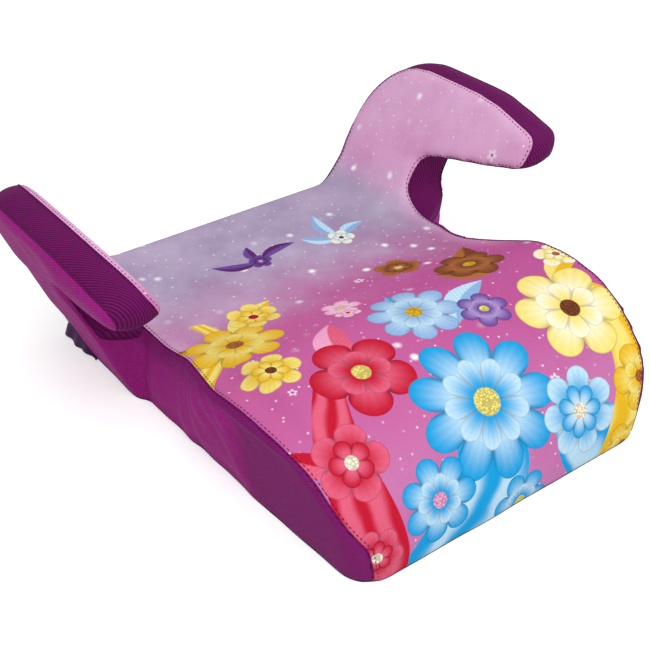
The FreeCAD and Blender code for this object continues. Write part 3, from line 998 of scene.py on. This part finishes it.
blooms = [
    # centre, radius, petals, turn, outer, inner, heart
    ((-104, -6), 36, 7, 0.3, "gold", "yellow", "copper"),
    ((-66, 28), 21, 6, 0.9, "yellow", "gold", "red"),
    ((-112, -62), 22, 6, 0.1, "yellow", "gold", "brown"),
    ((88, -34), 27, 6, 0.5, "brown", "copper", "gold"),
    ((58, 12), 19, 5, 0.2, "copper", "brown", "yellow"),
    ((-66, -98), 37, 5, 0.7, "red", "coral", "yellow"),
    ((-112, -152), 27, 5, 0.2, "coral", "red", "cream"),
    ((6, -66), 34, 8, 0.4, "dusk", "paleBlue", "gold"),
    ((48, -92), 20, 6, 0.0, "violet", "lilac", "yellow"),
    ((104, -122), 43, 6, 0.3, "yellow", "cream", "brown"),
    ((128, -190), 26, 5, 0.8, "gold", "yellow", "copper"),
    ((-2, -156), 56, 9, 0.2, "sky", "paleBlue", "yellow"),
    ((66, -192), 33, 7, 0.6, "paleBlue", "sky", "cream"),
    ((-64, -200), 30, 7, 0.1, "sky", "paleBlue", "rose"),
    ((58, 84), 12, 5, 0.3, "cream", "paleBlue", "violet"),
    ((-16, 92), 10, 5, 0.0, "violet", "plum", "rose"),
    ((4, -236), 25, 6, 0.2, "sky", "paleBlue", "yellow"),
    ((106, -238), 22, 5, 0.5, "gold", "yellow", "copper"),
    ((-118, -216), 21, 6, 0.3, "coral", "red", "cream"),
    ((-20, -16), 15, 5, 0.4, "rose", "blush", "yellow"),
    ((140, -72), 17, 5, 0.1, "cream", "yellow", "copper"),
    ((-24, -30), 10, 5, 0.9, "blush", "rose", "red"),
]
daisyLook = {
    "spacing": 34.0,  # millimetres between the small scattered flowers
    "radius": 6.5,
    "rearEnd": (75.0, 45.0),  # they dwindle from the second to the first, and none grow behind it
    "sharpness": 1.2,
    "strength": 0.75,
    "heartEnd": (0.9, 1.5),
    "petal": "F6E4F2",
    "heart": "B25FA6",
}
sparkleLook = [
    # millimetres between them, radius, strength
    (13.0, 1.3, 0.9),
    (48.0, 4.5, 1.2),
]


def printColour(name):
    return linear(motifColours[name])[:3]


def turnedBack(middles, start, angle):
    across = middles[:, 0] - start[0]
    back = middles[:, 1] - start[1]
    return (across * math.cos(angle) + back * math.sin(angle),
            back * math.cos(angle) - across * math.sin(angle))


def nearby(along, beside, half, length):
    # the faces on a motif of this half width, or within a little room of it
    room = motifLook["room"]
    return (beside < half + room) & (along > -room) & (along < length + room)


def ribbonArea(middles, ribbon):
    start, angle, length, width, flare, sway, light, dark = ribbon
    along, across = turnedBack(middles, start, angle)
    half = (width + flare * np.clip(along / length, 0.0, 1.0)) / 2.0
    swing = sway * np.sin(motifLook["ribbonSwing"] * along / length)
    inside = nearby(along, np.abs(across - swing), half, length)
    return inside, [start + (0.0,), (angle, length, width), (flare, sway, 0.0),
                    printColour(light), printColour(dark)]


def leafArea(middles, leaf):
    start, angle, length, width, light, dark = leaf
    along, across = turnedBack(middles, start, angle)
    bow = np.maximum(along / length * (1.0 - along / length), 0.0)
    beside = np.abs(across - bow * length * motifLook["leafBend"])
    inside = nearby(along, beside, motifLook["leafBreadth"] * bow * width, length)
    return inside, [start + (0.0,), (angle, length, width), printColour(light), printColour(dark)]


def bloomArea(middles, bloom):
    centre, radius, petals, turn, outer, inner, heart = bloom
    reach = np.hypot(middles[:, 0] - centre[0], middles[:, 1] - centre[1])
    return reach < radius + motifLook["room"], [
        centre + (0.0,), (radius, petals, turn),
        printColour(outer), printColour(inner), printColour(heart)]


# from the lowest layer to the highest: motifs, where they lie, what they carry, their node group
motifKinds = {
    "ribbon": (ribbons, ribbonArea, ["Start", "Shape", "Flow", "Light", "Dark"], ribbonTree),
    "leaf": (leaves, leafArea, ["Start", "Shape", "Light", "Dark"], leafTree),
    "bloom": (blooms, bloomArea, ["Start", "Shape", "Outer", "Inner", "Heart"], bloomTree),
}
nowhere = 9999.0  # start of a motif, in millimetres, on faces that carry none


def faceMiddles(mesh, places):
    corners = readAll(mesh.loops, "vertex_index", kind=np.int64)[:, 0]
    starts = readAll(mesh.polygons, "loop_start", kind=np.int64)[:, 0]
    totals = readAll(mesh.polygons, "loop_total", kind=np.int64)
    return np.add.reduceat(places[corners], starts, axis=0) / totals


def storeMotifs(mesh):
    # each face carries the place, shape and colours of the motif on it; motifs that share a face
    # lie in different layers, a later one higher
    middles = faceMiddles(mesh, printPlaces(vertexPlaces(mesh)))
    layerCounts = {}
    for kind, (motifs, area, names, _) in motifKinds.items():
        layers = []
        for motif in motifs:
            inside, values = area(middles, motif)
            level = 0
            for number, layer in enumerate(layers):
                if (layer["used"] & inside).any():
                    level = number + 1
            if level == len(layers):
                layers.append({"used": np.zeros(len(middles), dtype=bool)})
                for name in names:
                    layers[level][name] = np.ones((len(middles), 3))
                layers[level]["Start"] *= nowhere
            layers[level]["used"] |= inside
            for name, value in zip(names, values):
                layers[level][name][inside] = value
        for number, layer in enumerate(layers):
            for name in names:
                storeField(mesh, kind + name + str(number), layer[name], "FLOAT_VECTOR", "FACE")
        layerCounts[kind] = len(layers)
    return layerCounts


def addMotifs(add, place, colour, layerCounts):
    for kind, (_, _, names, makeTree) in motifKinds.items():
        group = makeTree()
        for number in range(layerCounts[kind]):
            values = []
            for name in names:
                title = kind + name + str(number)
                read = add("Attribute", {"attribute_name": title})["Vector"]
                if name in ("Shape", "Flow"):
                    parts = add("SeparateXYZ", None, read)
                    values += [parts["X"], parts["Y"]] + ([parts["Z"]] if name == "Shape" else [])
                else:
                    values.append(read)
            colour = add("Group", {"node_tree": group}, place, colour, *values)[0]
    return colour


groundLook = {
    # two colours that clouds, or the way across, run between
    "rear": ("7E6C98", "D6C6DE"),
    "middle": ("C6609E", "BC5696"),
    "front": ("BC5A98", "D28CC0"),
    "arms": ("D07CBA", "F4D0EC"),
    "cloudScale": 0.016,
    "cloudDrift": 90.0,  # millimetres that the clouds shift one colour into the next
    "middleStart": (150.0, 20.0),  # back, in millimetres
    "frontStart": (-60.0, -150.0),
    "armFront": (-40.0, 10.0),
    "armSide": (112.0, 150.0),  # across
    "rightSide": (-60.0, 90.0),
}


def printGround(add, place):
    # soft clouds of colour that the printed flowers lie on
    look = groundLook
    parts = add("SeparateXYZ", None, place)
    clouds = add("TexNoise", None, place, Scale=look["cloudScale"], Detail=3.0, Roughness=0.6)["Fac"]
    drift = add("Math", "MULTIPLY_ADD", clouds, look["cloudDrift"], parts["Y"])[0]
    forward = add("MapRange", smooth, drift, *look["middleStart"], 0.0, 1.0)[0]
    low = add("MapRange", smooth, drift, *look["frontStart"], 0.0, 1.0)[0]
    wide = add("Math", "ABSOLUTE", parts["X"])[0]
    wing = add("MapRange", smooth, wide, *look["armSide"], 0.0, 1.0)[0]
    rear = add("MapRange", smooth, parts["Y"], *look["armFront"], 0.0, 1.0)[0]
    wing = add("Math", "MULTIPLY", wing, rear)[0]
    right = add("MapRange", smooth, parts["X"], *look["rightSide"], 0.0, 1.0)[0]
    ground = None
    for name, along, cover in (("rear", clouds, None), ("middle", right, forward),
                               ("front", clouds, low), ("arms", clouds, wing)):
        first, second = look[name]
        tone = add("Mix", rgba, along, A_Color=linear(first), B_Color=linear(second))["Result"]
        if cover is not None:
            tone = add("Mix", rgba, cover, A_Color=ground, B_Color=tone)["Result"]
        ground = tone
    return ground


def scatteredDaisies(add, place, under):
    # one cell of a Voronoi pattern for each small flower
    cells = add("TexVoronoi", {"voronoi_dimensions": "2D"}, place,
                Scale=1.0 / daisyLook["spacing"], Randomness=0.8)
    offset = add("VectorMath", "SUBTRACT", place, cells["Position"])[0]
    reach = add("VectorMath", "LENGTH", offset)["Value"]
    parts = add("SeparateXYZ", None, offset)
    angle = add("Math", "ARCTAN2", parts["Y"], parts["X"])[0]
    lot = add("SeparateColor", None, cells["Color"])
    swing = add("Math", "MULTIPLY_ADD", angle, 2.5, lot["Green"])[0]
    lobe = add("Math", "ABSOLUTE", add("Math", "COSINE", swing)[0])[0]
    size = add("MapRange", None, lot["Red"], 0.45, 1.0, 0.0, daisyLook["radius"])[0]
    front = add("SeparateXYZ", None, cells["Position"])["Y"]
    front = add("MapRange", smooth, front, *daisyLook["rearEnd"], 0.0, 1.0)[0]
    size = add("Math", "MULTIPLY", size, front)[0]
    edge = add("Math", "MULTIPLY_ADD", lobe, 0.45, 0.55)[0]
    edge = add("Math", "MULTIPLY", edge, size)[0]
    inside = add("Math", "SUBTRACT", edge, reach)[0]
    cover = add("Math", clamped, inside, daisyLook["sharpness"])[0]
    soft = add("Math", "MULTIPLY", cover, daisyLook["strength"])[0]
    colour = add("Mix", rgba, soft, A_Color=under, B_Color=linear(daisyLook["petal"]))["Result"]
    heart = add("MapRange", smooth, reach, *daisyLook["heartEnd"], 1.0, 0.0)[0]
    heart = add("Math", "MULTIPLY", heart, cover)[0]
    return add("Mix", rgba, heart, A_Color=colour, B_Color=linear(daisyLook["heart"]))["Result"]


def sparkles(add, place, under, spacing, size, strength):
    cells = add("TexVoronoi", {"voronoi_dimensions": "2D"}, place, Scale=1.0 / spacing)
    lot = add("SeparateColor", None, cells["Color"])["Blue"]
    glow = add("MapRange", smooth, cells["Distance"], 0.0, size / spacing, strength, 0.0)[0]
    glow = add("Math", "MULTIPLY", glow, lot)[0]
    return add("Mix", rgba, glow, A_Color=under, B_Color=linear("FFFFFF"))["Result"]


clothLook = {
    "sideDark": "84146A",
    "sideLight": "A82288",
    # painted shade along the print's seam on the side panels
    "sideSeamShade": "660F56",
    "gussetDark": "4A0340",
    "gussetLight": "761362",
    "lining": "452350",
    "thread": "5C0F4C",
    "elastic": "2A2A2E",
    "foam": "E8E2CE",
    "haze": "C040A0",  # what little sheen the cloths have
    "printPitch": 1.6,  # millimetres between rows of loops on the print
    "sidePitch": 1.7 * mm,
    "ribPitch": 1.8 * mm,
    "crossPitch": 1.3 * mm,
    "liningPitch": 1.2 * mm,
    "plyPitch": 0.8 * mm,
    "elasticPitch": 1.4 * mm,
    "pores": 700.0,
    # how far from the print's seam the painted shade reaches
    "seamShadeReach": (3.0 * mm, 17.0 * mm),
}


def addCloth(add, colour, roughness, sheen, height, depth):
    bump = add("Bump", None, Height=height, Distance=depth)[0]
    shader = add("BsdfPrincipled", None, colour, Normal=bump, Roughness=roughness,
                 Specular_IOR_Level=0.12, Sheen_Weight=sheen, Sheen_Roughness=0.4,
                 Sheen_Tint=linear(clothLook["haze"]))[0]
    add("OutputMaterial", None, shader)


def threadLines(add, place, direction, pitch):
    # 0 to 1 across each thread of this pitch
    along = add("VectorMath", "DOT_PRODUCT", place, Vector(direction).normalized())["Value"]
    turns = add("Math", "MULTIPLY", along, 2.0 * math.pi / pitch)[0]
    wave = add("Math", "SINE", turns)[0]
    return add("MapRange", None, wave, -1.0, 1.0, 0.0, 1.0)[0]


def printedTricot(layerCounts):
    # polyester tricot, transfer printed: smooth, matt, with faint rows of loops and a thin surface haze
    material, add, onPiece = pieceMaterial("printed polyester tricot")
    place = add("Attribute", {"attribute_name": "printPlace"})["Vector"]
    colour = printGround(add, place)
    colour = scatteredDaisies(add, place, colour)
    for sparkle in sparkleLook:
        colour = sparkles(add, place, colour, *sparkle)
    colour = addMotifs(add, place, colour, layerCounts)
    loops = threadLines(add, place, (1.0, 0.12, 0.0), clothLook["printPitch"])
    fuzz = add("TexNoise", None, onPiece, Scale=900.0, Detail=2.0)["Fac"]
    shade = add("MapRange", None, fuzz, 0.3, 0.7, 0.94, 1.03)[0]
    colour = add("VectorMath", "SCALE", colour, Scale=shade)[0]
    addCloth(add, colour, 0.8, 0.0, loops, 0.05 * mm)
    return material


def plainTricot():
    # brushed polyester tricot, dyed: a soft sheen where it curves away, close rows of loops, and
    # painted shade near the print's seam
    material, add, onPiece = pieceMaterial("brushed polyester tricot")
    rows = threadLines(add, onPiece, (0.3, 0.5, 1.0), clothLook["sidePitch"])
    fuzz = add("TexNoise", None, onPiece, Scale=420.0, Detail=3.0)["Fac"]
    patches = add("TexNoise", None, onPiece, Scale=16.0, Detail=2.0)["Fac"]
    worn = add("Math", "MULTIPLY_ADD", rows, 0.25, add("Math", "MULTIPLY", fuzz, 0.5)[0])[0]
    tint = add("Math", "MULTIPLY_ADD", patches, 0.4, worn)[0]
    tint = add("MapRange", smooth, tint, 0.25, 0.85, 0.0, 1.0)[0]
    colour = add("Mix", rgba, tint, A_Color=linear(clothLook["sideDark"]),
                 B_Color=linear(clothLook["sideLight"]))["Result"]
    # painted shade: the side panels darker near the print's seam, where their upper edge turns in under
    # the print's overhanging edge
    seamShade = add("Attribute", {"attribute_name": "fromPrint"})["Fac"]
    seamShade = add("MapRange", smooth, seamShade, *clothLook["seamShadeReach"], 0.65, 0.0)[0]
    colour = add("Mix", rgba, seamShade, A_Color=colour,
                 B_Color=linear(clothLook["sideSeamShade"]))["Result"]
    addCloth(add, colour, 0.7, 0.05, rows, 0.05 * mm)
    return material


def ribKnit():
    # polyester spacer knit: open, so it looks darker, with slanting ribs drawn coarse enough to show
    material, add, onPiece = pieceMaterial("open polyester rib knit")
    ribs = threadLines(add, onPiece, (1.0, 0.75, 0.35), clothLook["ribPitch"])
    cross = threadLines(add, onPiece, (-0.6, 1.0, 0.4), clothLook["crossPitch"])
    cross = add("Math", "MULTIPLY_ADD", cross, 0.4, 0.6)[0]
    holes = add("Math", "MULTIPLY", ribs, cross)[0]
    patches = add("TexNoise", None, onPiece, Scale=22.0, Detail=2.0)["Fac"]
    tint = add("Math", "MULTIPLY_ADD", patches, 0.35, holes)[0]
    tint = add("MapRange", smooth, tint, 0.15, 0.95, 0.0, 1.0)[0]
    colour = add("Mix", rgba, tint, A_Color=linear(clothLook["gussetDark"]),
                 B_Color=linear(clothLook["gussetLight"]))["Result"]
    addCloth(add, colour, 0.8, 0.03, holes, 0.12 * mm)
    return material


def shadeCloth(add, code, pattern, limits, roughness, sheen, depth):
    # one dye, lighter or darker with the pattern of its threads or pores
    tint = add("MapRange", None, pattern, *limits)[0]
    colour = add("VectorMath", "SCALE", linear(clothLook[code])[:3], Scale=tint)[0]
    addCloth(add, colour, roughness, sheen, pattern, depth)


def crossedThreads(add, place, first, second, pitch):
    return add("Math", "MAXIMUM", threadLines(add, place, first, pitch),
               threadLines(add, place, second, pitch))[0]


def satinLining():
    # thin woven nylon lining, dark violet: smoother than the knit, with a thread line across it
    material, add, onPiece = pieceMaterial("woven nylon lining")
    weave = crossedThreads(add, onPiece, (0.2, 1.0, 0.0), (0.3, 0.0, 1.0), clothLook["liningPitch"])
    shadeCloth(add, "lining", weave, (0.2, 1.0, 0.72, 1.1), 0.48, 0.3, 0.06 * mm)
    return material


def twistedThread():
    # bonded polyester thread: two plies that catch a little light
    material, add, onPiece = pieceMaterial("bonded polyester thread")
    plies = threadLines(add, onPiece, (1.0, 0.8, 0.6), clothLook["plyPitch"])
    shadeCloth(add, "thread", plies, (0.0, 1.0, 0.75, 1.15), 0.5, 0.2, 0.05 * mm)
    return material


def wovenElastic():
    # polyester elastic: raised rubber cords along it under the braid
    material, add, onPiece = pieceMaterial("braided polyester elastic")
    weave = crossedThreads(add, onPiece, (1.0, 1.0, 0.0), (1.0, -1.0, 0.0), clothLook["elasticPitch"])
    shadeCloth(add, "elastic", weave, (0.2, 1.0, 0.6, 1.1), 0.7, 0.15, 0.12 * mm)
    return material


def openCellFoam():
    # polyurethane foam, cut: pale, with pores
    material, add, onPiece = pieceMaterial("open cell polyurethane foam")
    pores = add("TexVoronoi", None, onPiece, Scale=clothLook["pores"])["Distance"]
    shadeCloth(add, "foam", pores, (0.0, 0.6, 0.7, 1.0), 0.95, 0.0, 0.4 * mm)
    return material


plasticLook = {
    # colour, roughness, how fine its grain is
    "black polypropylene": ("1B1B1F", 0.55, 700.0),
    "grey polypropylene": ("3A3A40", 0.5, 500.0),
    "black nylon": ("1E1C20", 0.45, 400.0),
}


def mouldedPlastic(name):
    # injection moulded: slightly waxy, with an eroded texture from the tool
    material, add, onPiece = pieceMaterial(name)
    code, roughness, grain = plasticLook[name]
    erosion = add("TexNoise", None, onPiece, Scale=grain, Detail=4.0)["Fac"]
    flow = add("TexNoise", None, onPiece, Scale=9.0, Detail=2.0)["Fac"]
    tint = add("MapRange", None, flow, 0.3, 0.7, 0.92, 1.06)[0]
    colour = add("VectorMath", "SCALE", linear(code)[:3], Scale=tint)[0]
    dull = add("MapRange", None, erosion, 0.3, 0.7, roughness - 0.08, roughness + 0.08)[0]
    bump = add("Bump", None, Height=erosion, Distance=0.05 * mm)[0]
    shader = add("BsdfPrincipled", None, colour, Roughness=dull, Normal=bump, IOR=1.49)[0]
    add("OutputMaterial", None, shader)
    return material


steelLook = {
    "bare": "B9BCC0",
    "passivated": "D2D2CC",
    "dullness": (0.24, 0.42),
}


def zincPlatedSteel():
    # zinc plated steel: bright, with faint patches of the passivated layer
    material, add, onPiece = pieceMaterial("zinc plated steel")
    patches = add("TexNoise", None, onPiece, Scale=600.0, Detail=3.0)["Fac"]
    dull = add("MapRange", None, patches, 0.3, 0.7, *steelLook["dullness"])[0]
    colour = add("Mix", rgba, patches, A_Color=linear(steelLook["bare"]),
                 B_Color=linear(steelLook["passivated"]))["Result"]
    shader = add("BsdfPrincipled", None, colour, Metallic=1.0, Roughness=dull)[0]
    add("OutputMaterial", None, shader)
    return material


# the making

def dress(obj, material, slot, *nodes):
    if material is not None:
        obj.data.materials.clear()
        obj.data.materials.append(material)
    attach(obj, "root")
    if nodes:
        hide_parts(*nodes)


print("materials")
sideCloth = plainTricot()
gussetCloth = ribKnit()
lining = satinLining()
thread = twistedThread()
foam = openCellFoam()

print("skin")
skin = makeSkin()
fields = seamFields(skin.data)
shapeSkin(skin, fields)

print("seams")
rollPath, stitchPath = seamPaths(skin, fields)
hemLining = makeLining(skin)
seamRoll = pathPiece("seamRoll", rollPath, rollTree(gussetCloth), {
    "Pitch": seamLook["rollPitch"],
    "Radius": seamLook["rollRadius"],
})
seamStitches = pathPiece("seamStitches", stitchPath, stitchTree(thread), {
    "Pitch": seamLook["stitchPitch"],
    "Length": seamLook["stitchLength"],
    "Thickness": seamLook["stitchThick"],
})

print("panels")
bm, layers = cutPanels(skin, fields)
panels = splitPanels(skin, bm, layers)
bpy.data.objects.remove(skin)
printed = panels["seatCover"].data
storeField(printed, "printPlace", printPlaces(vertexPlaces(printed)), "FLOAT_VECTOR")
layerCounts = storeMotifs(printed)
print("print layers", layerCounts)
printedCloth = printedTricot(layerCounts)
looseHem = makeLooseHem()
for piece in list(panels.values()) + [seamRoll, seamStitches]:
    moveVertices(piece.data, raisedHem(vertexPlaces(piece.data)))
for panel in panels.values():
    addThickness(panel, coverLook["clothThick"])
addThickness(hemLining, liningLook["thick"])
addThickness(looseHem, liningLook["thick"])

print("pads")
seatPad = makePad("seatPad", "seat_foam")
armPadLeft = makePad("armPadLeft", "arm_foam_left")
armPadRight = makePad("armPadRight", "arm_foam_right")

print("dressing")
dressed = [
    (panels["seatCover"], printedCloth, "printed_fabric", "cover_seat_panel"),
    (panels["sidePanelLeft"], sideCloth, "side_fabric", "cover_side_left"),
    (panels["sidePanelRight"], sideCloth, "side_fabric", "cover_side_right"),
    (panels["rearPanel"], sideCloth, "side_fabric", "cover_rear_panel"),
    (panels["armGussetLeft"], gussetCloth, "gusset_mesh", "arm_gusset_left"),
    (panels["armGussetRight"], gussetCloth, "gusset_mesh", "arm_gusset_right"),
    (seamRoll, None, "gusset_mesh"),
    (seamStitches, None, "gusset_mesh"),
    (hemLining, lining, "lining", "hem_lining"),
    (looseHem, lining, "lining", "hem_loose_end"),
    (seatPad, foam, "foam", "seat_foam"),
    (armPadLeft, foam, "foam", "arm_foam_left"),
    (armPadRight, foam, "foam", "arm_foam_right"),
]
for piece in dressed:
    dress(*piece)
capPlastic = mouldedPlastic("grey polypropylene")
elastic = wovenElastic()
finishes = {
    "seat_shell": mouldedPlastic("black polypropylene"),
    "arm_cap_left": capPlastic,
    "arm_cap_right": capPlastic,
    "arm_cap_screws": zincPlatedSteel(),
    "hem_elastic": elastic,
    "hook_loops": elastic,
    "cover_hooks": mouldedPlastic("black nylon"),
}
for node, finish in finishes.items():
    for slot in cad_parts[node].material_slots:
        slot.material = finish


# floor, light and camera

def seenDirectly(add, low, high):
    # the higher value for what the eye, gloss and glass see, the lower one for the light on things
    path = add("LightPath")
    seen = add("Math", "MAXIMUM", path["Is Camera Ray"], path["Is Glossy Ray"])[0]
    seen = add("Math", "MAXIMUM", seen, path["Is Transmission Ray"])[0]
    return add("MapRange", None, seen, 0.0, 1.0, low, high)[0]


studioLook = {
    "floorSize": 60.0,
    "floor": "E6E6E6",
    "floorShine": 0.5,  # seen, but it lights nothing
    "air": 0.5,
    "keyLamp": ((-0.5, -0.9, 1.5), 1.0, 17.0),  # place, size, power
    "fillLamp": ((1.2, -0.3, 1.0), 1.2, 6.0),
    "lampAim": (0.0, 0.0, 0.05),
}
cameraLook = {
    "place": (-0.4425, -0.5608, 0.5341),
    "forward": (0.49588, 0.66091, -0.56329),
    "lens": 63.7,
    "sensor": 36.0,
}


def makeFloor():
    mesh = bpy.data.meshes.new("studioFloor")
    size = studioLook["floorSize"]
    corners = [(-size, -size, 0.0), (size, -size, 0.0), (size, size, 0.0), (-size, size, 0.0)]
    mesh.from_pydata(corners, [], [(0, 1, 2, 3)])
    floor = newObject("studioFloor", mesh)
    material, add = newMaterial("white studio floor")
    shine = seenDirectly(add, 0.0, studioLook["floorShine"])
    paint = add("BsdfPrincipled", None, linear(studioLook["floor"]), Roughness=1.0,
                Specular_IOR_Level=0.0, Emission_Color=linear("FFFFFF"), Emission_Strength=shine)[0]
    add("OutputMaterial", None, paint)
    mesh.materials.append(material)


def aimed(obj, place, direction):
    obj.location = place
    obj.rotation_euler = Vector(direction).to_track_quat("-Z", "Y").to_euler()


def addLamp(name):
    place, size, power = studioLook[name]
    data = bpy.data.lights.new(name, "AREA")
    data.shape = "SQUARE"
    data.size = size
    data.energy = power
    aimed(newObject(name, data), place, Vector(studioLook["lampAim"]) - Vector(place))


def makeCamera():
    data = bpy.data.cameras.new("camera")
    data.lens = cameraLook["lens"]
    data.sensor_width = cameraLook["sensor"]
    camera = newObject("camera", data)
    aimed(camera, cameraLook["place"], cameraLook["forward"])
    bpy.context.scene.camera = camera


def makeAir():
    world = bpy.data.worlds.new("studio air")
    bpy.context.scene.world = world
    world.use_nodes = True
    world.node_tree.nodes.clear()
    add = partial(addNode, world.node_tree)
    air = add("Background", None, linear("FFFFFF"), seenDirectly(add, studioLook["air"], 1.0))[0]
    add("OutputWorld", None, air)


print("studio")
makeFloor()
addLamp("keyLamp")
addLamp("fillLamp")
makeCamera()
makeAir()
bpy.context.scene.view_settings.view_transform = "Standard"
